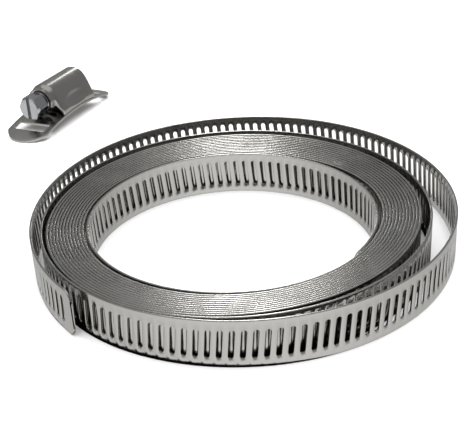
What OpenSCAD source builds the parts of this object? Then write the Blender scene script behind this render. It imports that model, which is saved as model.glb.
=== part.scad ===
// Worm-drive banding clamp: a coil of slotted band and one separate clasp.
// The origin is on the floor at the middle of the coil's hole, +Z up, millimetres.

/* [Band] */
// Width of the band, which is the height of the coil
band_w = 12.7; // [9:0.1:16]
// Thickness of the band
band_t = 0.6; // [0.4:0.05:0.7]
// Radius of the rounded corners at the band's two ends
end_corner_r = 2.5; // [1:0.25:4]

/* [Slots in the band] */
// Spacing of the slots along the band, which is also the pitch of the worm
slot_pitch = 2.75; // [2.4:0.05:3.5]
// Length of a slot across the band
slot_l = 7.75; // [6:0.05:8.5]
// Width of a slot along the band
slot_w = 1.35; // [0.9:0.05:1.5]

/* [Coil] */
// Inner radius of the innermost turn
inner_r = 39; // [30:0.5:60]
// Number of turns that lie packed together
turns = 14; // [4:1:18]
// Step from turn to turn on the tight side
tight_step = 0.86; // [0.85:0.01:1.5]
// Step from turn to turn on the slack side
slack_step = 1.12; // [0.9:0.01:2]
// Extra gap on the slack side outside the innermost turn
inner_gap = 1.1; // [0:0.1:3]
// Extra gap on the slack side inside the outermost packed turn
outer_gap = 1.7; // [0:0.1:4]
// Direction of the slack side
slack_side = 57; // [0:1:180]
// Where the inner end of the band starts
inner_end = -41; // [-90:1:0]
// How much larger than the pack's radius each quarter of the loose turn is, up to the free end
loose_more = [6.82, 11.32, 6.07, 16.32];
// Angle that the last of them turns through
last_turn = 73; // [30:1:80]

/* [Clasp] */
// Length of the base plate along its curve's chord
plate_l = 54; // [44:1:64]
// Thickness of the base plate
plate_t = 0.9; // [0.6:0.1:1.2]
// Width of each side rail beside a window
rail_w = 2; // [1.5:0.1:3]
// Radius of the hose that the underside of the base plate is curved for
saddle_r = 90; // [60:1:150]
// Length of each window that the band passes through
window_l = 4.6; // [4.2:0.1:6]
// Metal between a window and the end of the plate
end_bar = 6; // [4:0.1:7.5]
// Play of the band across its width in the clasp
band_play = 0.45; // [0.2:0.05:0.8]
// Length of the housing
housing_l = 24; // [20:0.5:30]
// Thickness of the housing's wall
housing_t = 1.1; // [0.9:0.1:1.4]

/* [Worm screw] */
// Outside diameter of the worm
worm_d = 9.4; // [8:0.1:10.5]
// Depth of the worm's thread
thread_h = 1.2; // [0.8:0.1:1.5]
// Gap between the worm and the housing
worm_clearance = 0.2; // [0.15:0.05:0.4]
// Hexagon across its flats
hex_af = 8; // [7:0.1:8.5]
// Height of the hexagon
hex_h = 6; // [3:0.5:8]
// Width of the screwdriver slot
driver_w = 1.4; // [1:0.1:2]
// Depth of the screwdriver slot
driver_h = 1.8; // [1:0.1:2.5]

/* [Where the clasp lies] */
// Middle of the clasp on the floor
clasp_at = [-64, 112];
// Direction that the screw head points in
head_direction = 245; // [0:1:359]

/* [Hidden] */
$fn = 96;
cut = 1; // how far a cutter runs past the face it cuts

steel = [0.72, 0.72, 0.70];
plate_steel = [0.66, 0.66, 0.65];
housing_steel = [0.70, 0.70, 0.69];
screw_steel = [0.60, 0.60, 0.60];

// ---- Band: a chain of arcs that meet in line, each [centre, radius, first angle, angle turned] ----
// They are worked out with the slack side along +X, and the whole coil is turned at the end,
// so each joint between two arcs lies on an axis.

// the tight and the slack crossing of each turn, measured from the origin
function tight_at(turn) = inner_r + tight_step * turn;
function slack_at(turn) = inner_r + slack_step * turn
    + (turn > 0 ? inner_gap : 0) + (turn == turns - 1 ? outer_gap : 0);

first_arc = [[0, 0], inner_r, inner_end - slack_side, slack_side - inner_end];
function half_turn(from, to, way) = [[way * (from - to) / 2, 0], (from + to) / 2, 90 - 90 * way, 180];
packed_arcs = [for (turn = [0:turns - 1]) each concat(
    [half_turn(slack_at(turn), tight_at(turn), 1)],
    turn == turns - 1 ? [] : [half_turn(tight_at(turn), slack_at(turn + 1), -1)])];

// each loose arc starts where the last one stopped, in the same direction
function quarter(angle) = [round(cos(angle)), round(sin(angle))];
function next_arc(arc, r, turned) =
    let (start = arc[2] + arc[3])
    [arc[0] + (arc[1] - r) * quarter(start), r, start, turned];
function loose_arcs(arc, i = 0) = i == len(loose_more) ? [] :
    let (new = next_arc(arc, tight_at(turns - 1) + loose_more[i],
        i < len(loose_more) - 1 ? 90 : last_turn))
    concat([new], loose_arcs(new, i + 1));
arcs = concat([first_arc], packed_arcs,
    loose_arcs(packed_arcs[len(packed_arcs) - 1]));
outer_arcs = len(loose_more) + 2; // the arcs of the outer packed turn and the loose turn

// the worm's lead at its outside diameter sets the slant of the slots
slot_slant = atan(slot_pitch / (PI * worm_d));

function slots_in(arc) = round(arc[3] * PI / 180 * (arc[1] + band_t / 2) / slot_pitch);

// a slot with round ends, cut along +X at the middle of the band's width; its top leans to larger angles
module slot_cutter() {
    rotate([0, 90, 0]) linear_extrude(band_t + 2 * cut, center = true) rotate(-slot_slant) {
        square([slot_l - slot_w, slot_w], center = true);
        for (side = [-1, 1])
            translate([side * (slot_l - slot_w) / 2, 0]) circle(d = slot_w);
    }
}

module strip(arc, slotted) {
    step = arc[3] / slots_in(arc);
    translate(arc[0]) difference() {
        rotate_extrude(angle = arc[3], start = arc[2])
            translate([arc[1], 0]) square([band_t, band_w]);
        if (slotted) for (i = [0:slots_in(arc) - 1])
            rotate(arc[2] + (i + 0.5) * step)
                translate([arc[1] + band_t / 2, 0, band_w / 2]) slot_cutter();
    }
}

// what the rounded corners take off at an end; way is 1 where the band runs on towards larger angles
module end_corners(arc, angle, way) {
    inset = 0.85 * end_corner_r; // so the round meets each edge at a slight angle
    reach = end_corner_r + cut;
    translate(arc[0]) rotate(angle)
        translate([arc[1] + band_t / 2, 0, band_w / 2]) rotate([0, 90, 0])
            for (side = [-1, 1]) linear_extrude(band_t + 2 * cut, center = true) difference() {
                translate([side * (band_w / 2 - inset + reach / 2), way * (inset - reach / 2)])
                    square(reach, center = true);
                translate([side * (band_w / 2 - inset), way * inset]) circle(r = end_corner_r);
            }
}

module band() {
    last = len(arcs) - 1;
    color(steel) rotate(slack_side) for (i = [0:last]) difference() {
        strip(arcs[i], i < 3 || i > last - outer_arcs);
        if (i == 0) end_corners(arcs[i], arcs[i][2], 1);
        if (i == last) end_corners(arcs[i], arcs[i][2] + arcs[i][3], -1);
    }
}

// ---- Clasp: its length lies along X with the screw head towards -X ----

plate_w = band_w + band_play + 2 * rail_w;
plate_top_r = saddle_r + plate_t;
half_span = asin(plate_l / 2 / plate_top_r);
saddle_z = -saddle_r * cos(half_span); // height of the saddle's axis when the ends stand on the floor
plate_top = saddle_z + plate_top_r;

worm_r = worm_d / 2;
bore_r = worm_r + worm_clearance;
worm_z = plate_top + 0.15 + worm_r; // the thread runs just clear of the plate
barrel_r = bore_r + housing_t;
core_r = worm_r - thread_h;

collar_l = 2; // length of the bearing at each end of the housing
journal_r = core_r - 0.4;
tail_r = core_r - 1.2;
worm_l = housing_l - 2 * collar_l - 2 * worm_clearance;

window_at = plate_l / 2 - end_bar - window_l / 2;
window_w = band_w + band_play;

module place_clasp() {
    translate([clasp_at[0], clasp_at[1], 0]) rotate(head_direction + 180) children();
}

module plate_outline() {
    end_r = plate_w / 2;
    intersection() {
        square([plate_l, plate_w], center = true);
        union() {
            square([plate_l - end_r, plate_w + cut], center = true);
            for (side = [-1, 1])
                translate([side * (plate_l / 2 - end_r * 1.15), 0]) circle(r = end_r * 1.15);
        }
    }
}

module window() {
    corner = 0.8;
    union() {
        square([window_l - 2 * corner, window_w], center = true);
        square([window_l, window_w - 2 * corner], center = true);
        for (x = [-1, 1], y = [-1, 1])
            translate([x * (window_l / 2 - corner), y * (window_w / 2 - corner)])
                circle(r = corner);
    }
}

module base_plate() {
    color(plate_steel) place_clasp() intersection() {
        translate([0, 0, saddle_z]) rotate([90, 0, 0]) difference() {
            cylinder(r = plate_top_r, h = plate_w + 2 * cut, center = true);
            cylinder(r = saddle_r, h = plate_w + 4 * cut, center = true);
        }
        linear_extrude(plate_top + cut) difference() {
            plate_outline();
            for (side = [-1, 1]) translate([side * window_at, 0]) window();
        }
    }
}

// the housing's section: a barrel on two flanks that spread to the plate's edges
module section(r, foot_half, shoulder_z) {
    circle(r = r);
    polygon([[-foot_half, -worm_z], [foot_half, -worm_z], [foot_half, shoulder_z],
        [r * 0.72, r * 0.66], [-r * 0.72, r * 0.66], [-foot_half, shoulder_z]]);
}

module along_x(from, to) {
    translate([from, 0, worm_z]) rotate([90, 0, 90]) linear_extrude(to - from) children();
}

module housing() {
    foot_half = plate_w / 2 - 0.2;
    shoulder_z = plate_top + 1.9 - worm_z;
    half_l = housing_l / 2;
    color(housing_steel) place_clasp() difference() {
        union() {
            along_x(-half_l + collar_l, half_l) section(barrel_r, foot_half, shoulder_z);
            along_x(-half_l, 0) circle(r = barrel_r - 0.8);
        }
        // the inside, open underneath for the band
        along_x(-half_l + collar_l, half_l - collar_l)
            section(bore_r, foot_half - housing_t, shoulder_z - 0.5);
        along_x(-half_l - cut, 0) circle(r = journal_r + worm_clearance);
        along_x(0, half_l + cut) circle(r = tail_r + worm_clearance);
        // the tunnel for the band
        translate([-half_l - cut, -window_w / 2, 0])
            cube([housing_l + 2 * cut, window_w, plate_top + band_t + 0.4]);
        // the feet follow the plate
        translate([0, 0, saddle_z]) rotate([90, 0, 0])
            cylinder(r = plate_top_r, h = plate_w + 2 * cut, center = true);
        // a pressed hollow in each flank
        for (side = [-1, 1]) flank_hollow(side, foot_half);
    }
}

// a scoop along the flank, with a ball at each end
module flank_hollow(side, foot_half) {
    scoop_r = 6;
    scoop_l = housing_l * 0.36;
    depth = housing_t * 0.5;
    z = plate_top + 4.2;
    y = side * (foot_half - 1.15 + scoop_r - depth);
    translate([-scoop_l / 2, y, z]) rotate([0, 90, 0]) cylinder(r = scoop_r, h = scoop_l);
    for (x = [-1, 1]) translate([x * scoop_l / 2, y, z]) sphere(r = scoop_r);
}

// height of the thread at a place along the worm and an angle round it
function thread_at(z, angle) =
    let (phase = z / slot_pitch - angle / 360, x = abs(phase - floor(phase) - 0.5))
    core_r + thread_h * min(1, max(0, (0.36 - x) / 0.16));

module worm(length) {
    round_steps = 24;
    rows = ceil(length / slot_pitch * 6);
    points = [for (row = [0:rows], i = [0:round_steps - 1])
        let (z = length * row / rows, angle = 360 * i / round_steps, r = thread_at(z, angle))
        [r * cos(angle), r * sin(angle), z]];
    function id(row, i) = row * round_steps + i % round_steps;
    sides = [for (row = [0:rows - 1], i = [0:round_steps - 1])
        each [[id(row, i), id(row + 1, i), id(row, i + 1)],
            [id(row + 1, i), id(row + 1, i + 1), id(row, i + 1)]]];
    bottom = [for (i = [0:round_steps - 1]) id(0, i)];
    top = [for (i = [round_steps - 1:-1:0]) id(rows, i)];
    polyhedron(points, concat([bottom], sides, [top]));
}

module screw() {
    half_l = housing_l / 2;
    bite = 0.3; // how far one length of the screw runs into the next
    color(screw_steel) place_clasp() translate([0, 0, worm_z]) rotate([0, 90, 0]) {
        translate([0, 0, -worm_l / 2]) worm(worm_l);
        translate([0, 0, -half_l - 1]) cylinder(r = journal_r, h = half_l + 1 - worm_l / 2 + bite);
        translate([0, 0, worm_l / 2 - bite]) cylinder(r = tail_r, h = half_l - worm_l / 2 + bite);
        translate([0, 0, -half_l - 1 - hex_h]) difference() {
            intersection() {
                cylinder(d = hex_af / cos(30), h = hex_h + bite, $fn = 6);
                cylinder(r1 = hex_af / 2 - 0.1, r2 = hex_af / 2 + 4, h = hex_h + bite);
            }
            translate([-driver_w / 2, -hex_af, -cut])
                cube([driver_w, 2 * hex_af, driver_h + cut]);
        }
    }
}

band();
base_plate();
housing();
screw();
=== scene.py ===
import math

import bmesh
import bpy
import numpy as np
from mathutils import Matrix, Vector
from mathutils.kdtree import KDTree


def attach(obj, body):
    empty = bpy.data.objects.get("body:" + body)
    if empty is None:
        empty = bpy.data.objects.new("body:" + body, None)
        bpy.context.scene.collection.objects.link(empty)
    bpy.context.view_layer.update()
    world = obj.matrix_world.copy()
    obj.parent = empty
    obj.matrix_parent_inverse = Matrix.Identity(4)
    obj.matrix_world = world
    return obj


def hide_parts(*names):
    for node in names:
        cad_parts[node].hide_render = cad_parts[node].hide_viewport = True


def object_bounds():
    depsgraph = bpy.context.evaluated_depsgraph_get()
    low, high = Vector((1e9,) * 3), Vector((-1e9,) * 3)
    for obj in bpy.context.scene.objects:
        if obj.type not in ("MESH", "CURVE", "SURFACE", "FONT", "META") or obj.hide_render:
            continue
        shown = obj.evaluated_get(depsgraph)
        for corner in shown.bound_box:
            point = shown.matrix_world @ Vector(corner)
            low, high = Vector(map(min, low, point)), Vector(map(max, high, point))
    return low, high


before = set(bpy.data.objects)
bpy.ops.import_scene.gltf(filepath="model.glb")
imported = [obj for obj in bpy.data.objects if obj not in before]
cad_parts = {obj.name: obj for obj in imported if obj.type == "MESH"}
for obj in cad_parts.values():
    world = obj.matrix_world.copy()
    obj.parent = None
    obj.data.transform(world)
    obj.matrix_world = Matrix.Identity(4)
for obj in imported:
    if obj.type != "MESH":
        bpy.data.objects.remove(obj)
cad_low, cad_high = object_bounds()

bl_info = {
    "name": "Banding Clamp",
    "version": (1, 0, 0),
    "blender": (4, 5, 0),
    "location": "View3D > Sidebar > Banding",
    "description": "Builds a coil of slotted banding and its worm-drive clasp",
    "category": "Object",
}

MM = 0.001
PATH_STEP = 0.15        # degrees between points of the coil's line
RIM_ROUND = 0.18        # rounding of the housing's rim, in millimetres
RIM_OVERSHOOT = 0.9     # how far a rounding may lie from the sheet, in millimetres
PLATE_EDGE = 0.16       # rounding of the base plate's edges, in millimetres
PAPER_HALF = 3.0        # half the side of the paper, in metres
PAPER_DROP = 0.0001     # how far the paper lies below the part, in metres
CARD_LIFT = 0.00002     # how far the shade card lies above the paper, in metres


# ---------------------------------------------------------------- colours and nodes

def linear(hex_colour):
    """An sRGB hex colour as linear red, green, blue and alpha."""
    channels = [int(hex_colour[i:i + 2], 16) / 255 for i in (1, 3, 5)]
    return [c / 12.92 if c <= 0.04045 else ((c + 0.055) / 1.055) ** 2.4 for c in channels] + [1]


def add(tree, kind, settings=None, **inputs):
    """Adds a node, sets its properties, and sets or links its inputs by name."""
    node = tree.nodes.new(kind)
    for name, value in (settings or {}).items():
        setattr(node, name, value)
    for name, value in inputs.items():
        socket = node.inputs[int(name[1:])] if name[0] == "_" else node.inputs[name.replace("_", " ")]
        if isinstance(value, bpy.types.NodeSocket):
            tree.links.new(value, socket)
        else:
            socket.default_value = value
    return node


def new_material(name):
    material = bpy.data.materials.new(name)
    material.use_nodes = True
    material.node_tree.nodes.clear()
    return material, material.node_tree


def finish_material(tree, shader):
    add(tree, "ShaderNodeOutputMaterial", Surface=shader.outputs[0])


# ---------------------------------------------------------------- materials

def rolled_stainless(colour):
    """Cold-rolled 304 strip: fine rolling lines along its length, smudged a little by handling."""
    material, tree = new_material("cold_rolled_stainless")
    place = add(tree, "ShaderNodeTexCoord").outputs["Object"]
    # rolling lines 0.25 mm apart across the strip, drawn coarser than the real ones so that they show
    across = add(tree, "ShaderNodeMapping", Vector=place, Scale=(60, 60, 4000))
    lines = add(tree, "ShaderNodeTexNoise", Vector=across.outputs[0], Scale=1.0, Detail=4.0, Roughness=0.6)
    # smudges about 8 mm across
    smudges = add(tree, "ShaderNodeTexNoise", Vector=place, Scale=130.0, Detail=3.0)
    mixed = add(tree, "ShaderNodeMath", {"operation": "MULTIPLY_ADD"},
                _0=lines.outputs[0], _1=0.35, _2=smudges.outputs[0])
    rough = add(tree, "ShaderNodeMapRange", Value=mixed.outputs[0], From_Min=0.4, From_Max=1.0,
                To_Min=0.14, To_Max=0.28)
    tint = add(tree, "ShaderNodeMix", {"data_type": "RGBA"}, Factor=smudges.outputs[0])
    tint.inputs[6].default_value = [c * 0.93 for c in colour[:3]] + [1]
    tint.inputs[7].default_value = colour
    bump = add(tree, "ShaderNodeBump", Strength=0.08, Distance=0.00002, Height=lines.outputs[0])
    tangent = add(tree, "ShaderNodeTangent", {"direction_type": "RADIAL", "axis": "Z"})
    shader = add(tree, "ShaderNodeBsdfPrincipled", Base_Color=tint.outputs[2], Metallic=1.0,
                 Roughness=rough.outputs[0], Anisotropic=0.3, Normal=bump.outputs[0],
                 Tangent=tangent.outputs[0])
    finish_material(tree, shader)
    return material


def pressed_stainless(colour, name):
    """Pressed stainless sheet, tumbled after pressing: a satin skin with faint pits and scuffs."""
    material, tree = new_material(name)
    place = add(tree, "ShaderNodeTexCoord").outputs["Object"]
    # tumbling marks about 0.4 mm across
    marks = add(tree, "ShaderNodeTexNoise", Vector=place, Scale=2500.0, Detail=5.0, Roughness=0.55)
    # patches about 5 mm across where the sheet was stretched in the press
    patches = add(tree, "ShaderNodeTexNoise", Vector=place, Scale=200.0, Detail=2.0)
    rough = add(tree, "ShaderNodeMapRange", Value=patches.outputs[0], From_Min=0.3, From_Max=0.7,
                To_Min=0.16, To_Max=0.30)
    tint = add(tree, "ShaderNodeMix", {"data_type": "RGBA"}, Factor=marks.outputs[0])
    tint.inputs[6].default_value = [c * 0.9 for c in colour[:3]] + [1]
    tint.inputs[7].default_value = colour
    bump = add(tree, "ShaderNodeBump", Strength=0.15, Distance=0.00003, Height=marks.outputs[0])
    shader = add(tree, "ShaderNodeBsdfPrincipled", Base_Color=tint.outputs[2], Metallic=1.0,
                 Roughness=rough.outputs[0], Normal=bump.outputs[0])
    finish_material(tree, shader)
    return material


def seamless_paper(colour):
    """White seamless studio paper: matt, with the faintest tooth."""
    material, tree = new_material("seamless_paper")
    place = add(tree, "ShaderNodeTexCoord").outputs["Object"]
    tooth = add(tree, "ShaderNodeTexNoise", Vector=place, Scale=1500.0, Detail=3.0)
    bump = add(tree, "ShaderNodeBump", Strength=0.05, Distance=0.00005, Height=tooth.outputs[0])
    shader = add(tree, "ShaderNodeBsdfPrincipled", Base_Color=colour, Roughness=0.85,
                 Normal=bump.outputs[0])
    finish_material(tree, shader)
    return material


def painted_shade_card():
    """Black card, which gives the steel nothing to reflect: painted shade under the turns, seen only in
    the steel's reflections.
    """
    material, tree = new_material("painted_shade_card")
    shader = add(tree, "ShaderNodeBsdfDiffuse", Color=linear("#101010"))
    finish_material(tree, shader)
    return material


# ---------------------------------------------------------------- settings

def size(name, text, default):
    return bpy.props.FloatProperty(name=name, description=text, default=default, precision=2)


class BandSettings(bpy.types.PropertyGroup):
    width: size("Width", "Width of the band in millimetres", 12.7)
    thickness: size("Thickness", "Thickness of the band in millimetres", 0.6)
    edge_round: size("Edge round", "Radius of the rolled edges in millimetres", 0.08)
    end_corner: size("End corner", "Radius of the corners at the band's ends in millimetres", 2.5)
    slot_pitch: size("Slot pitch", "Spacing of the slots in millimetres", 2.75)
    slot_length: size("Slot length", "Length of a slot across the band in millimetres", 7.75)
    slot_width: size("Slot width", "Width of a slot in millimetres", 1.35)
    slot_bevel: size("Slot bevel", "Roll-over at a slot's rim in millimetres", 0.07)
    slot_slant: size("Slot slant", "Slant of the slots in degrees", 5.32)
    inner_radius: size("Inner radius", "Inner radius of the innermost turn in millimetres", 39.0)
    turns: bpy.props.IntProperty(name="Turns", description="Turns that lie packed together", default=14)
    tight_step: size("Tight step", "Step from turn to turn on the tight side in millimetres", 0.812)
    slack: size("Slack", "How far the pack spreads on its slack side in millimetres", 7.0)
    spread_side: size("Spread side", "Direction that the pack spreads most in, in degrees", 72.0)
    slack_side: size("Slack side", "Direction of the slack side in degrees", 57.0)
    inner_gap: size("Inner gap", "Widest gap outside the innermost turn in millimetres", 1.3)
    inner_gap_side: size("Inner gap side", "Direction of the gap outside the innermost turn", 16.0)
    outer_gap: size("Outer gap", "Gap inside the outermost packed turn in millimetres", 2.0)
    inner_end: size("Inner end", "Where the inner end of the band starts, in degrees", -41.0)
    loose_radii: bpy.props.FloatVectorProperty(
        name="Loose radii", description="Radii of the loose turn's quarters in millimetres",
        size=4, default=(57.0, 61.5, 56.25, 66.5))
    last_turn: size("Last turn", "Angle of the last of them in degrees", 73.0)
    colour: bpy.props.FloatVectorProperty(
        name="Steel", description="Colour of the strip", subtype="COLOR", size=4,
        default=linear("#B6B5B1"))


class ClaspSettings(bpy.types.PropertyGroup):
    place: bpy.props.FloatVectorProperty(
        name="Place", description="Middle of the clasp on the floor in millimetres", size=2,
        default=(-64.0, 112.0))
    heading: size("Heading", "Direction that the screw head points in, in degrees", 245.0)
    plate_length: size("Plate length", "Length of the base plate in millimetres", 54.0)
    plate_width: size("Plate width", "Width of the base plate in millimetres", 17.15)
    plate_thickness: size("Plate thickness", "Thickness of the base plate in millimetres", 0.9)
    saddle_radius: size("Saddle radius", "Radius of the base plate's underside in millimetres", 90.0)
    end_bar: size("End bar", "Metal between a window and the plate's end in millimetres", 6.0)
    window_length: size("Window length", "Length of a window in millimetres", 4.6)
    window_width: size("Window width", "Width of a window in millimetres", 13.15)
    housing_length: size("Housing length", "Length of the housing in millimetres", 24.0)
    housing_wall: size("Housing wall", "Thickness of the housing's wall in millimetres", 1.1)
    worm_diameter: size("Worm diameter", "Outside diameter of the worm in millimetres", 9.4)
    thread_height: size("Thread height", "Depth of the worm's thread in millimetres", 1.2)
    clearance: size("Clearance", "Gap between the worm and the housing in millimetres", 0.2)
    hexagon: size("Hexagon", "Size of the hexagon across its flats in millimetres", 8.0)
    head_height: size("Head height", "Height of the hexagon in millimetres", 6.0)
    driver_width: size("Driver slot width", "Width of the screwdriver slot in millimetres", 1.4)
    driver_depth: size("Driver slot depth", "Depth of the screwdriver slot in millimetres", 1.8)
    colour: bpy.props.FloatVectorProperty(
        name="Steel", description="Colour of the pressed sheet", subtype="COLOR", size=4,
        default=linear("#B2B0AC"))
    zinc: bpy.props.FloatVectorProperty(
        name="Zinc", description="Colour of the screw's plating", subtype="COLOR", size=4,
        default=linear("#B9BBBC"))


class StageSettings(bpy.types.PropertyGroup):
    paper: bpy.props.FloatVectorProperty(
        name="Paper", description="Colour of the paper", subtype="COLOR", size=4,
        default=linear("#F4F4F4"))


# ---------------------------------------------------------------- the band

def unit(angle):
    return np.array([np.cos(np.radians(angle)), np.sin(np.radians(angle))])


def rise(angle, low, high):
    """0 before low, 1 after high, and smooth between them."""
    t = np.clip((angle - low) / (high - low), 0, 1)
    return t * t * (3 - 2 * t)


def packed_radius(band, angle):
    """Distance from the origin to the band's inner face; the angle counts on through all the turns."""
    tight_side = band.slack_side + 180
    last = tight_side + 360 * (band.turns - 1)
    lap = band.inner_end + 360
    steps = rise(angle, tight_side, lap) + np.clip((angle - lap) / 360, 0, None)
    share = np.clip((angle - tight_side) / (last - tight_side), 0, 1) ** 1.15
    # where the turns stand apart, seen round one turn
    around = (angle - tight_side) % 360 + tight_side - 360
    side = band.inner_gap_side
    inner = band.inner_gap * (rise(around, side - 58, side) - rise(around, side, side + 50))
    outer = band.outer_gap * (rise(around, tight_side - 360, -10) - rise(around, 115, tight_side))
    spread = band.slack * np.abs(np.cos(np.radians(angle - band.spread_side) / 2)) ** 3
    return (band.inner_radius + band.tight_step * steps + inner * (angle > tight_side)
            + outer * (angle > last - 360) + (spread - inner - 0.75 * outer) * share)


def coil_path(band):
    """Points along the band's inner face, 0.1 to 0.2 mm apart, from its inner end."""
    tight_side = band.slack_side + 180
    last = tight_side + 360 * (band.turns - 1)
    angles = np.arange(band.inner_end, last, PATH_STEP)
    points = [packed_radius(band, angles)[:, None] * unit(angles).T]
    radius, start = packed_radius(band, np.array([last]))[0], tight_side
    centre = np.zeros(2)
    for i, new_radius in enumerate(band.loose_radii):
        turned = 90 if i < len(band.loose_radii) - 1 else band.last_turn
        centre = centre + (radius - new_radius) * unit(start)
        angles = start + np.arange(0, turned, PATH_STEP)
        points.append(centre + new_radius * unit(angles).T)
        radius, start = new_radius, start + turned
    points.append((centre + radius * unit(start))[None])
    return np.concatenate(points)


class Path:
    """The coil's line, asked for places by the length of band before them."""

    def __init__(self, band):
        self.points = coil_path(band)
        steps = np.linalg.norm(np.diff(self.points, axis=0), axis=1)
        self.lengths = np.concatenate([[0], np.cumsum(steps)])
        self.length = self.lengths[-1]
        # smoothed a little, so that the arcs' joints don't show
        window = np.ones(25) / 25
        slope = np.gradient(self.points, self.lengths, axis=0)
        slope = np.column_stack([np.convolve(np.pad(slope[:, i], 12, "edge"), window, "valid")
                                 for i in (0, 1)])
        self.slope = slope / np.linalg.norm(slope, axis=1)[:, None]

    def place(self, points):
        """Points (length of band, height, depth outwards) as places in the room."""
        at, height, depth = points.T
        x, y = (np.interp(at, self.lengths, self.points[:, i]) for i in (0, 1))
        tx, ty = (np.interp(at, self.lengths, self.slope[:, i]) for i in (0, 1))
        return np.column_stack([x + ty * depth, y - tx * depth, height])


def edge_loop(band):
    """The strip's section as points (height, depth): outer face, top edge, inner face, bottom edge."""
    half, t, r = band.width / 2, band.thickness, band.edge_round
    straight = (band.slot_length - band.slot_width) / 2
    face = [half - r, straight + (half - r - straight) * 0.45, straight]
    outer = [(z, t) for z in [-z for z in face] + face[::-1]]
    top = [(half - r + r * math.sin(a), t - r + r * math.cos(a))
           for a in (math.pi / 6, math.pi / 3, math.pi / 2)]
    top += [(half - r + r * math.sin(a), r + r * math.cos(a))
            for a in (math.pi / 2, math.pi * 2 / 3, math.pi * 5 / 6)]
    inner = [(z, 0.0) for z, _ in outer[::-1]]
    bottom = [(-z, t - n) for z, n in top]
    return np.array(outer + top + inner + bottom)


FACE_ROWS = 6    # rows of points on each face of the strip
EDGE_ROWS = 6    # rows of points round each edge


def cell_template(band):
    """One slot's cell: its own points as (along, height, depth), and quads that count from the cell's
    first point, with the left border given by numbers from -LOOP to -1."""
    loop = edge_loop(band)
    count = len(loop)
    half_l = (band.slot_length - band.slot_width) / 2
    half_w = band.slot_width / 2
    slant = math.tan(math.radians(band.slot_slant))
    points, quads = [], []

    # middle column: top of the outer face over the edge to the inner face, and the same at the bottom
    outer_top = FACE_ROWS - 1
    inner_top = FACE_ROWS + EDGE_ROWS
    inner_bottom = inner_top + FACE_ROWS - 1
    columns = {}
    for name, rows in (("top", list(range(outer_top, inner_top + 1))),
                       ("bottom", list(range(inner_bottom, count)) + [0])):
        columns[name] = [(row, len(points) + i) for i, row in enumerate(rows)]
        points += [(0.0, *loop[row]) for row in rows]

    # four rings round the slot, from the outer face to the inner one
    angles = np.radians(list(range(0, 181, 30)) + list(range(180, 361, 30)))
    ends = np.array([half_l] * 7 + [-half_l] * 7)
    rings = []
    for depth, wider in ((band.thickness, band.slot_bevel), (band.thickness - band.slot_bevel, 0),
                         (band.slot_bevel, 0), (0.0, band.slot_bevel)):
        along = (half_w + wider) * np.cos(angles)
        height = ends + (half_w + wider) * np.sin(angles)
        rings.append(list(range(len(points), len(points) + 14)))
        points += [(s + z * slant, z, depth) for s, z in zip(along, height)]
    border = len(points)

    def left(row):
        return row - count

    def right(row):
        return border + row

    def mid(name, row):
        return next(i for r, i in columns[name] if r == row)

    for a, b in zip(rings, rings[1:]):
        quads += [(a[i], a[(i + 1) % 14], b[(i + 1) % 14], b[i]) for i in range(14)]

    # the ring of border points that the slot's outer ring is joined to, point by point
    for ring, rows, flip in ((rings[0], list(range(FACE_ROWS)), False),
                             (rings[3], list(range(inner_bottom, inner_top - 1, -1)), True)):
        around = [right(rows[3]), right(rows[4]), right(rows[5]), mid("top", rows[5]),
                  left(rows[5]), left(rows[4]), left(rows[3]),
                  left(rows[2]), left(rows[1]), left(rows[0]), mid("bottom", rows[0]),
                  right(rows[0]), right(rows[1]), right(rows[2])]
        for i in range(14):
            quad = (around[i], around[(i + 1) % 14], ring[(i + 1) % 14], ring[i])
            quads.append(quad[::-1] if flip else quad)
    for name in columns:
        for (row, a), (next_row, b) in zip(columns[name], columns[name][1:]):
            quads.append((left(row), a, b, left(next_row)))
            quads.append((a, right(row), right(next_row), b))
    return np.array(points), np.array(quads), count


def end_columns(band, path, at, way):
    """Columns of the strip's section that follow the rounded corners at one end, outermost last."""
    steps = 7
    corner, half = band.end_corner, band.width / 2
    loop = edge_loop(band)
    columns = []
    for i in range(1, steps + 1):
        turn = math.pi / 2 * i / steps
        back = corner * (1 - math.sin(turn))
        share = (half - corner + corner * math.cos(turn)) / half
        columns.append(path.place(np.column_stack([np.full(len(loop), at - way * back),
                                                   loop[:, 0] * share, loop[:, 1]])))
    return columns


def build_band(band):
    """The strip as one cell for each slot, between plain ends with rounded corners."""
    path = Path(band)
    template, quads, count = cell_template(band)
    loop = edge_loop(band)
    flat = np.arange(count)
    points, faces = [], []
    total = 0

    def bridge(a, b):
        return np.column_stack([a + flat, b + flat, b + (flat + 1) % count, a + (flat + 1) % count])

    def add_column(column):
        nonlocal total
        points.append(column)
        if total:
            faces.append(bridge(total - count, total))
        total += count

    for column in end_columns(band, path, 0.0, -1)[::-1]:
        add_column(column)
    slots = int((path.length - 2 * band.end_corner) / band.slot_pitch)
    start = (path.length - slots * band.slot_pitch) / 2
    add_column(path.place(np.column_stack([np.full(count, start), loop])))
    for i in range(slots):
        middle = start + (i + 0.5) * band.slot_pitch
        points.append(path.place(template + [middle, 0, 0]))
        points.append(path.place(np.column_stack(
            [np.full(count, middle + band.slot_pitch / 2), loop])))
        faces.append(quads + total)
        total += len(template) + count
    for column in end_columns(band, path, path.length, 1):
        add_column(column)
    verts = np.concatenate(points)
    verts[:, 2] += band.width / 2
    polygons = np.concatenate(faces).tolist()
    polygons.append(list(range(count))[::-1])
    polygons.append(list(range(total - count, total)))
    mesh = bpy.data.meshes.new("slotted_band")
    mesh.from_pydata((verts * MM).tolist(), [], polygons)
    mesh.shade_smooth()
    return mesh


def link(mesh, name, material):
    piece = bpy.data.objects.new(name, mesh)
    bpy.context.scene.collection.objects.link(piece)
    mesh.materials.append(material)
    return piece


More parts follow.
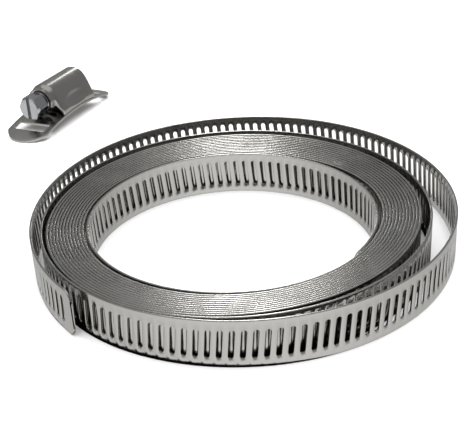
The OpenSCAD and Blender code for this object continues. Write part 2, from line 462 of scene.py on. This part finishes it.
class BANDING_OT_band(bpy.types.Operator):
    """Builds the coil of slotted band"""
    bl_idname = "banding.band"
    bl_label = "Band"

    def execute(self, context):
        band = context.scene.banding_band
        piece = link(build_band(band), "slotted_band", rolled_stainless(band.colour))
        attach(piece, "coil")
        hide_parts("band")
        return {"FINISHED"}


# ---------------------------------------------------------------- the clasp

class ClaspSizes:
    """Sizes in millimetres that follow from the settings; the clasp lies along X, head towards -X."""

    def __init__(self, clasp):
        self.top_r = clasp.saddle_radius + clasp.plate_thickness
        span = math.asin(clasp.plate_length / 2 / self.top_r)
        self.saddle_z = -clasp.saddle_radius * math.cos(span)
        self.plate_top = self.saddle_z + self.top_r
        self.worm_r = clasp.worm_diameter / 2
        self.axis_z = self.plate_top + 0.15 + self.worm_r
        self.barrel_r = self.worm_r + clasp.clearance + clasp.housing_wall
        self.core_r = self.worm_r - clasp.thread_height
        self.foot_half = clasp.plate_width / 2 - 0.2
        self.half_l = clasp.housing_length / 2

    def plate_z(self, x, height):
        """Height of the base plate at x, for a place this high in its thickness above the saddle."""
        return self.saddle_z + math.sqrt((self.top_r + height) ** 2 - x ** 2)


def place_clasp(mesh, name, material, clasp):
    """Turns a mesh in millimetres to where the clasp lies, and links it."""
    spin = Matrix.Rotation(math.radians(clasp.heading + 180), 4, "Z")
    mesh.transform(Matrix.Translation((clasp.place[0] * MM, clasp.place[1] * MM, 0))
                   @ spin @ Matrix.Scale(MM, 4))
    return link(mesh, name, material)


def arc_points(centre, radius, start, stop, steps):
    return [(centre[0] + radius * math.cos(math.radians(start + (stop - start) * i / steps)),
             centre[1] + radius * math.sin(math.radians(start + (stop - start) * i / steps)))
            for i in range(steps + 1)]


def smooth_by_angle(mesh, degrees=35):
    mesh.shade_smooth()
    mesh.set_sharp_from_angle(angle=math.radians(degrees))


def flat_sheet(outline, holes, thickness, edge):
    """A flat sheet with rounded edges, from outlines filled as one curve."""
    curve = bpy.data.curves.new("outline", "CURVE")
    curve.dimensions = "2D"
    curve.fill_mode = "BOTH"
    curve.extrude = thickness / 2 - edge
    curve.bevel_depth = edge
    curve.bevel_resolution = 3
    curve.offset = -edge
    for points in [outline] + holes:
        spline = curve.splines.new("POLY")
        spline.points.add(len(points) - 1)
        for point, (x, y) in zip(spline.points, points):
            point.co = (x, y, 0, 1)
        spline.use_cyclic_u = True
    holder = bpy.data.objects.new("outline", curve)
    mesh = bpy.data.meshes.new_from_object(holder)
    bpy.data.objects.remove(holder)
    bpy.data.curves.remove(curve)
    return mesh


def build_plate(clasp, sizes):
    length, half_w = clasp.plate_length, clasp.plate_width / 2
    end_r = half_w * 1.15
    reach = math.degrees(math.asin(1 / 1.15))
    outline = arc_points((length / 2 - end_r, 0), end_r, -reach, reach, 24)
    outline += arc_points((end_r - length / 2, 0), end_r, 180 - reach, 180 + reach, 24)
    holes = []
    corner, half_x, half_y = 0.8, clasp.window_length / 2, clasp.window_width / 2
    for side in (-1, 1):
        middle = side * (length / 2 - clasp.end_bar - half_x)
        hole = []
        for start, x, y in ((0, 1, 1), (90, -1, 1), (180, -1, -1), (270, 1, -1)):
            centre = (middle + x * (half_x - corner), y * (half_y - corner))
            hole += arc_points(centre, corner, start, start + 90, 5)
        holes.append(hole[::-1])
    mesh = flat_sheet(outline, holes, clasp.plate_thickness, PLATE_EDGE)
    work = bmesh.new()
    work.from_mesh(mesh)
    bmesh.ops.remove_doubles(work, verts=work.verts, dist=1e-4)
    for i in range(1, int(length)):
        everything = work.verts[:] + work.edges[:] + work.faces[:]
        bmesh.ops.bisect_plane(work, geom=everything, dist=1e-5, plane_no=(1, 0, 0),
                               plane_co=(i - length / 2, 0, 0))
    for vert in work.verts:
        x, _, z = vert.co
        vert.co.z = max(0, sizes.plate_z(x, z - clasp.plate_thickness / 2))
    work.to_mesh(mesh)
    work.free()
    smooth_by_angle(mesh, 40)
    return mesh


def smooth_path(points, steps):
    """A Catmull-Rom curve through these points."""
    points = [np.array(p, float) for p in points]
    padded = [2 * points[0] - points[1]] + points + [2 * points[-1] - points[-2]]
    path = []
    for a, b, c, d in zip(padded, padded[1:], padded[2:], padded[3:]):
        for i in range(steps):
            t = i / steps
            path.append(0.5 * (2 * b + (c - a) * t + (2 * a - 5 * b + 4 * c - d) * t * t
                               + (3 * b - a - 3 * c + d) * t ** 3))
    path.append(points[-1])
    return np.array(path)


def ease(value, low, high):
    t = min(1, max(0, (value - low) / (high - low)))
    return t * t * (3 - 2 * t)


def housing_section(sizes, x):
    """Outer line of the housing at x, from its right foot over the barrel to its left foot, as (y, z)."""
    neck = ease(-x, sizes.half_l - 3.6, sizes.half_l - 1.6)     # 1 at the mouth, 0 in the barrel
    foot_z = sizes.plate_z(x, 0)
    lift = ease(-x, sizes.half_l - 3.0, sizes.half_l - 2.2)     # the flanks stop short of the mouth
    radius = sizes.barrel_r - 0.8 * neck
    foot = sizes.foot_half - (sizes.foot_half - radius) * lift
    low = foot_z + (sizes.axis_z - 1.5 - foot_z) * lift
    axis_z = sizes.axis_z
    side = [(-foot, low), (-foot, low + (1.6 - 1.2 * lift)),
            (-foot + 0.55 * (1 - lift), low + 2.9 - 2.1 * lift),
            (-radius * 1.04, axis_z + 0.9), (-radius * 0.90, axis_z + radius * 0.436),
            (-radius * 0.643, axis_z + radius * 0.766), (-radius * 0.342, axis_z + radius * 0.94),
            (0, axis_z + radius)]
    line = smooth_path(side, 6)
    return np.concatenate([line, (line * [-1, 1])[-2::-1]])


def build_housing(clasp, sizes):
    """The pressed sheet: an outer and an inner skin joined by rounded edges, and the wall at its tail."""
    stations = np.concatenate([np.arange(-sizes.half_l, -sizes.half_l + 4.2, 0.2),
                               np.arange(-sizes.half_l + 4.5, sizes.half_l, 0.5), [sizes.half_l]])
    outer = []
    for x in stations:
        line = housing_section(sizes, x)
        outer.append(np.column_stack([np.full(len(line), x), line]))
    outer = np.array(outer)
    along = np.gradient(outer, axis=0)
    around = np.gradient(outer, axis=1)
    normal = np.cross(around, along)
    normal /= np.linalg.norm(normal, axis=2)[:, :, None]
    middle = outer.shape[1] // 2
    if normal[len(stations) // 2, middle, 2] < 0:
        normal = -normal
    # the almond-shaped hollow pressed in each flank
    hollow_z = sizes.plate_top + 3.4
    inside = (((outer[:, :, 0] - 1.2) / 8.2) ** 2 + ((outer[:, :, 2] - hollow_z) / 2.5) ** 2)
    depth = 0.75 * np.clip(1 - inside, 0, 1) ** 1.1
    outer = outer - normal * depth[:, :, None]
    inner = outer - normal * clasp.housing_wall
    # both ends are plain cuts, so the inner skin ends in the same planes
    inner[-1, :, 0] = outer[-1, :, 0]
    inner[0, :, 0] = outer[0, :, 0]
    rows, columns = outer.shape[:2]
    # both skins, and the order of the points round the rim that joins them
    verts = [outer.reshape(-1, 3), inner.reshape(-1, 3)]
    edge = [(0, i) for i in range(columns)] + [(i, columns - 1) for i in range(1, rows)]
    edge += [(rows - 1, i) for i in range(columns - 2, -1, -1)] + [(i, 0) for i in range(rows - 2, 0, -1)]
    faces = []
    count = rows * columns
    for r in range(rows - 1):
        for c in range(columns - 1):
            a = r * columns + c
            faces.append((a, a + 1, a + columns + 1, a + columns))
            faces.append((count + a, count + a + columns, count + a + columns + 1, count + a + 1))
    for (r, c), (r2, c2) in zip(edge, edge[1:] + edge[:1]):
        a, b = r * columns + c, r2 * columns + c2
        faces.append((b, a, count + a, count + b))
    mesh = bpy.data.meshes.new("pressed_housing")
    mesh.from_pydata(np.concatenate(verts).tolist(), [], faces)
    work = bmesh.new()
    work.from_mesh(mesh)
    bmesh.ops.recalc_face_normals(work, faces=work.faces)
    rim = [e for e in work.edges if len(e.link_faces) == 2
           and e.calc_face_angle() > math.radians(60)]
    bmesh.ops.bevel(work, geom=rim, offset=RIM_ROUND, segments=3, profile=0.5, affect="EDGES",
                    miter_outer="SHARP", loop_slide=False)
    # a rounding that overshoots where the rim turns sharply is brought back to the sheet
    tree = KDTree(len(verts[0]) + len(verts[1]))
    for i, point in enumerate(np.concatenate(verts)):
        tree.insert(point, i)
    tree.balance()
    for vert in work.verts:
        near, _, distance = tree.find(vert.co)
        if distance > RIM_OVERSHOOT:
            vert.co = near
    tail_wall(work, clasp, sizes)
    work.to_mesh(mesh)
    work.free()
    smooth_by_angle(mesh, 40)
    return mesh


def tail_wall(work, clasp, sizes):
    """The wall inside the tail end, with the round bearing of the screw's tail."""
    line = housing_section(sizes, sizes.half_l)
    middle = np.array([0, sizes.axis_z])
    hole_r = sizes.core_r - 1.2 + clasp.clearance
    rings = []
    for x in (sizes.half_l - 0.5, sizes.half_l - 1.5):
        outer, inner = [], []
        for y, z in line:
            ray = np.array([y, z]) - middle
            length = np.linalg.norm(ray)
            far = middle + ray * (length - 0.6) / length
            near = middle + ray * hole_r / length
            outer.append(work.verts.new((x, *far)))
            inner.append(work.verts.new((x, *near)))
        rings += [outer, inner]
    a, b, c, d = rings
    for p, q in ((a, b), (b, d), (d, c)):
        for i in range(len(line) - 1):
            work.faces.new((p[i], p[i + 1], q[i + 1], q[i]))
    for i in (0, len(line) - 1):
        work.faces.new((a[i], b[i], d[i], c[i]))


def lathe(profile, steps=64):
    """A solid of revolution about X, from (x, radius) points; the ends are closed."""
    mesh = bpy.data.meshes.new("turned")
    angles = [2 * math.pi * i / steps for i in range(steps)]
    verts = [(x, r * math.cos(a), r * math.sin(a)) for x, r in profile for a in angles]
    faces = [(k * steps + i, k * steps + (i + 1) % steps,
              (k + 1) * steps + (i + 1) % steps, (k + 1) * steps + i)
             for k in range(len(profile) - 1) for i in range(steps)]
    faces += [list(range(steps))[::-1], [(len(profile) - 1) * steps + i for i in range(steps)]]
    mesh.from_pydata(verts, [], faces)
    return mesh


def worm_mesh(clasp, sizes, pitch, start, stop):
    """The worm: a right-hand thread with a rounded crest, as a grid wrapped round X."""
    steps, rows = 72, int((stop - start) / pitch * 20)
    verts = []
    for row in range(rows + 1):
        x = start + (stop - start) * row / rows
        fade = min(1, (x - start) / 0.9, (stop - x) / 0.9)
        for i in range(steps):
            turn = x / pitch - i / steps
            off = abs(turn - math.floor(turn) - 0.5)
            crest = ease(0.40 - off, 0, 0.24)
            r = sizes.core_r + clasp.thread_height * crest * (0.25 + 0.75 * fade)
            a = 2 * math.pi * i / steps
            verts.append((x, -r * math.sin(a), r * math.cos(a)))
    faces = [(r * steps + i, r * steps + (i + 1) % steps, (r + 1) * steps + (i + 1) % steps,
              (r + 1) * steps + i) for r in range(rows) for i in range(steps)]
    faces += [list(range(steps))[::-1], [rows * steps + i for i in range(steps)]]
    mesh = bpy.data.meshes.new("worm")
    mesh.from_pydata(verts, [], faces)
    return mesh


def boolean(mesh, other, operation):
    """mesh combined with other, as a new mesh; both are used up."""
    first = bpy.data.objects.new("first", mesh)
    second = bpy.data.objects.new("second", other)
    for item in (first, second):
        bpy.context.scene.collection.objects.link(item)
    modifier = first.modifiers.new("cut", "BOOLEAN")
    modifier.operation = operation
    modifier.object = second
    modifier.solver = "EXACT"
    bpy.context.view_layer.update()
    result = bpy.data.meshes.new_from_object(
        first.evaluated_get(bpy.context.evaluated_depsgraph_get()))
    for item in (first, second):
        bpy.data.objects.remove(item)
    return result


def hexagon_head(clasp, sizes):
    """The hexagon with its turned chamfer and screwdriver slot."""
    front = -sizes.half_l - 1 - clasp.head_height
    back = -sizes.half_l - 1
    corner_r = clasp.hexagon / 2 / math.cos(math.radians(30))
    prism = lathe([(front, corner_r), (back, corner_r)], 6)
    round_off = lathe([(front, clasp.hexagon / 2 - 0.25), (front + 0.5, clasp.hexagon / 2 + 0.1),
                       (front + 0.9, corner_r + 0.05), (back - 0.5, corner_r + 0.05),
                       (back, clasp.hexagon / 2 + 0.1)], 96)
    head = boolean(prism, round_off, "INTERSECT")
    work = bmesh.new()
    work.from_mesh(head)
    bmesh.ops.remove_doubles(work, verts=work.verts, dist=0.03)
    bmesh.ops.dissolve_limit(work, angle_limit=0.02, verts=work.verts, edges=work.edges)
    # only the six long edges: the ones at the turned chamfer are too short to round
    long_edges = [e for e in work.edges if len(e.link_faces) == 2 and e.calc_length() > 2
                  and e.calc_face_angle() > math.radians(25)]
    bmesh.ops.bevel(work, geom=long_edges, offset=0.12, segments=2, profile=0.5, affect="EDGES",
                    clamp_overlap=True)
    work.to_mesh(head)
    work.free()
    slot = bpy.data.meshes.new("driver")
    work = bmesh.new()
    bmesh.ops.create_cube(work, size=1)
    for vert in work.verts:
        vert.co.x = front - 1 if vert.co.x < 0 else front + clasp.driver_depth
        vert.co.y *= clasp.driver_width
        vert.co.z *= 3 * clasp.hexagon
    work.to_mesh(slot)
    work.free()
    return boolean(head, slot, "DIFFERENCE")


def build_screw(clasp, sizes, pitch):
    """Head, flange, journal, worm and tail, set on the screw's axis."""
    half, core = sizes.half_l, sizes.core_r
    worm_half = half - 2 - 2 * clasp.clearance
    journal, tail = core - 0.4, core - 1.2
    pieces = [
        hexagon_head(clasp, sizes),
        lathe([(-half - 1.1, journal), (-half - 0.35, journal), (-half - 0.2, journal + 0.1),
               (-half - 0.2, journal + 0.75), (-half - 0.05, journal + 0.9),
               (-half + 0.8, journal + 0.9), (-half + 0.95, journal + 0.75),
               (-half + 0.95, journal), (-worm_half + 0.2, journal)]),
        worm_mesh(clasp, sizes, pitch, -worm_half, worm_half),
        lathe([(worm_half - 0.2, tail), (half - 0.25, tail), (half, tail - 0.25)])]
    work = bmesh.new()
    for piece in pieces:
        work.from_mesh(piece)
        bpy.data.meshes.remove(piece)
    bmesh.ops.recalc_face_normals(work, faces=work.faces)
    bmesh.ops.translate(work, verts=work.verts, vec=(0, 0, sizes.axis_z))
    mesh = bpy.data.meshes.new("worm_screw")
    work.to_mesh(mesh)
    work.free()
    smooth_by_angle(mesh, 30)
    return mesh


class BANDING_OT_clasp(bpy.types.Operator):
    """Builds the clasp's base plate, housing and worm screw"""
    bl_idname = "banding.clasp"
    bl_label = "Clasp"

    def execute(self, context):
        clasp = context.scene.banding_clasp
        sizes = ClaspSizes(clasp)
        pitch = context.scene.banding_band.slot_pitch
        plate = place_clasp(build_plate(clasp, sizes), "pressed_plate",
                            pressed_stainless(clasp.colour, "tumbled_plate"), clasp)
        housing = place_clasp(build_housing(clasp, sizes), "pressed_housing",
                              pressed_stainless(clasp.colour, "tumbled_housing"), clasp)
        screw = place_clasp(build_screw(clasp, sizes, pitch), "worm_screw",
                            pressed_stainless(clasp.zinc, "zinc_plated_screw"), clasp)
        for piece, body, node, slot in ((plate, "clasp", "base_plate", "plate_steel"),
                                        (housing, "clasp", "housing", "housing_steel"),
                                        (screw, "screw", "screw", "screw_steel")):
            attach(piece, body)
            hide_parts(node)
        return {"FINISHED"}


# ---------------------------------------------------------------- stage

def shade_card(band):
    """A flat ring on the paper under the turns, where the paper is in their shade; it carries painted
    shade that only the steel's reflections see.
    """
    line = coil_path(band)
    angles, radii = np.unwrap(np.arctan2(line[:, 1], line[:, 0])), np.linalg.norm(line, axis=1)
    around = angles[-1] - np.linspace(2 * math.pi, 0, 181)
    # the painted shade reaches half way across the gap between the pack and the loose turn
    pack = band.inner_radius + band.turns * (band.tight_step + 0.3)
    outer = (np.interp(around, angles, radii) + pack) / 2
    inner = np.full(len(around), band.inner_radius + 0.3)
    points = [(radius * math.cos(angle) * MM, radius * math.sin(angle) * MM, 0)
              for ring in (inner, outer) for angle, radius in zip(around, ring)]
    count = len(around)
    mesh = bpy.data.meshes.new("shade_card")
    mesh.from_pydata(points, [], [(i, i + count, i + count + 1, i + 1) for i in range(count - 1)])
    return mesh


class BANDING_OT_stage(bpy.types.Operator):
    """Builds the paper, the lights and the camera"""
    bl_idname = "banding.stage"
    bl_label = "Stage"

    def execute(self, context):
        stage = context.scene.banding_stage
        scene = context.scene
        mesh = bpy.data.meshes.new("paper")
        half = PAPER_HALF
        mesh.from_pydata([(-half, -half, 0), (half, -half, 0), (half, half, 0), (-half, half, 0)],
                         [], [(0, 1, 2, 3)])
        paper = link(mesh, "paper", seamless_paper(stage.paper))
        paper.location.z = cad_low.z - PAPER_DROP
        paper.visible_glossy = False   # the steel sees the studio's own light and dark below it

        card = link(shade_card(scene.banding_band), "shade_card", painted_shade_card())
        card.location.z = paper.location.z + CARD_LIFT
        # painted shade: the card is hidden from the camera, from light and from shadows, so only
        # reflections in the steel see it
        card.visible_camera = card.visible_diffuse = card.visible_shadow = False

        world = bpy.data.worlds.new("studio")
        scene.world = world
        world.use_nodes = True
        tree = world.node_tree
        tree.nodes.clear()
        direction = add(tree, "ShaderNodeTexCoord").outputs["Generated"]
        parts = add(tree, "ShaderNodeSeparateXYZ", Vector=direction)
        # above: dim, a little lighter behind the part and lighter again overhead
        above = add(tree, "ShaderNodeMapRange", Value=parts.outputs["Y"], From_Min=-0.3, From_Max=0.8,
                    To_Min=0.24, To_Max=0.30)
        zenith = add(tree, "ShaderNodeMapRange", {"interpolation_type": "SMOOTHSTEP"},
                     Value=parts.outputs["Z"], From_Min=0.62, From_Max=0.95, To_Min=0.0, To_Max=0.6)
        sky = add(tree, "ShaderNodeMath", {"operation": "ADD"}, _0=above.outputs[0], _1=zenith.outputs[0])
        # below: what the steel sees in place of the paper, brightest on the camera's side
        ground = add(tree, "ShaderNodeMapRange", Value=parts.outputs["Y"], From_Min=-0.9, From_Max=0.9,
                     To_Min=1.20, To_Max=0.60)
        level = add(tree, "ShaderNodeMapRange", {"interpolation_type": "SMOOTHSTEP"},
                    Value=parts.outputs["Z"], From_Min=-0.32, From_Max=-0.04)
        both = add(tree, "ShaderNodeMix", {"data_type": "FLOAT"}, Factor=level.outputs[0],
                   A=ground.outputs[0], B=sky.outputs[0])
        back = add(tree, "ShaderNodeBackground", Color=(1, 1, 1, 1), Strength=both.outputs[0])
        add(tree, "ShaderNodeOutputWorld", Surface=back.outputs[0])

        sun = bpy.data.lights.new("ceiling", "SUN")
        sun.energy = 4.7
        sun.angle = math.radians(100)
        holder = bpy.data.objects.new("ceiling", sun)
        scene.collection.objects.link(holder)
        holder.rotation_euler = (math.radians(-6), 0, 0)
        holder.visible_glossy = False   # only the paper takes this light, and the steel sees the studio
        self.area("back_softbox", (0.008, 0.78, 0.362), (0.10, 0.13), 0.50)

        camera = bpy.data.cameras.new("camera")
        camera.lens = 71.1
        camera.sensor_width = 36
        holder = bpy.data.objects.new("camera", camera)
        scene.collection.objects.link(holder)
        eye = Matrix.Translation((0.0005, -0.2227, 0.1310))
        holder.matrix_world = (eye @ Matrix.Rotation(math.radians(90 - 28.19), 4, "X")
                               @ Matrix.Rotation(math.radians(-3.2), 4, "Z"))
        scene.camera = holder
        scene.view_settings.view_transform = "Standard"
        return {"FINISHED"}

    def area(self, name, place, sides, power):
        light = bpy.data.lights.new(name, "AREA")
        light.shape = "RECTANGLE"
        light.size, light.size_y = sides
        light.energy = power
        holder = bpy.data.objects.new(name, light)
        bpy.context.scene.collection.objects.link(holder)
        holder.location = place
        holder.rotation_mode = "QUATERNION"
        holder.rotation_quaternion = Vector(place).to_track_quat("Z", "Y")


class BANDING_PT_panel(bpy.types.Panel):
    """Lists the pieces"""
    bl_label = "Banding clamp"
    bl_idname = "BANDING_PT_panel"
    bl_space_type = "VIEW_3D"
    bl_region_type = "UI"
    bl_category = "Banding"

    def draw(self, context):
        for operator in (BANDING_OT_band, BANDING_OT_clasp, BANDING_OT_stage):
            self.layout.operator(operator.bl_idname)


CLASSES = (BandSettings, ClaspSettings, StageSettings, BANDING_OT_band, BANDING_OT_clasp,
           BANDING_OT_stage, BANDING_PT_panel)


def register():
    for item in CLASSES:
        bpy.utils.register_class(item)
    bpy.types.Scene.banding_band = bpy.props.PointerProperty(type=BandSettings)
    bpy.types.Scene.banding_clasp = bpy.props.PointerProperty(type=ClaspSettings)
    bpy.types.Scene.banding_stage = bpy.props.PointerProperty(type=StageSettings)


def unregister():
    del bpy.types.Scene.banding_stage
    del bpy.types.Scene.banding_clasp
    del bpy.types.Scene.banding_band
    for item in reversed(CLASSES):
        bpy.utils.unregister_class(item)


def main():
    register()
    bpy.ops.banding.band()
    bpy.ops.banding.clasp()
    bpy.ops.banding.stage()


if __name__ == "__main__":
    main()
